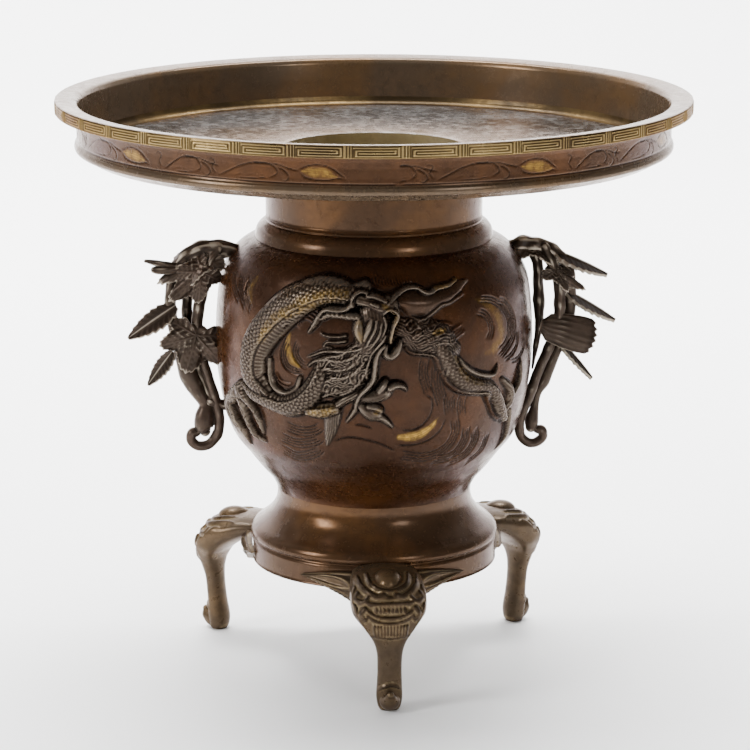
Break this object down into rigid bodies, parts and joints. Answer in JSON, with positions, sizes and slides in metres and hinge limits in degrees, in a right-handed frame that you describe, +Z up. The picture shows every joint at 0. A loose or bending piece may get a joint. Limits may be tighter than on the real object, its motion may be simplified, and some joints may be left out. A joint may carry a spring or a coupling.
{
  "type": "ikebana vase",
  "caption": "Cast bronze ikebana vase: a broad shallow dish on a round belly with a dragon in relief, vine-branch handles and cabriole legs with beast masks.",
  "frame": {"origin": "on the floor, on the axis of the vase", "axes": "+Z up the axis, -Y towards the front leg and the dragon, the handles at -X and +X"},
  "size_m": [0.32, 0.32, 0.2925],
  "materials": {
    "bronze": "chocolate-brown patinated bronze, satin",
    "dark_bronze": "olive-brown patinated bronze, matt"
  },
  "bodies": {
    "root": {"vase_body": "bronze", "dish": "bronze", "handle_left": "dark_bronze", "handle_right": "dark_bronze", "leg_front": "dark_bronze", "leg_back_left": "dark_bronze", "leg_back_right": "dark_bronze"}
  },
  "joints": []
}
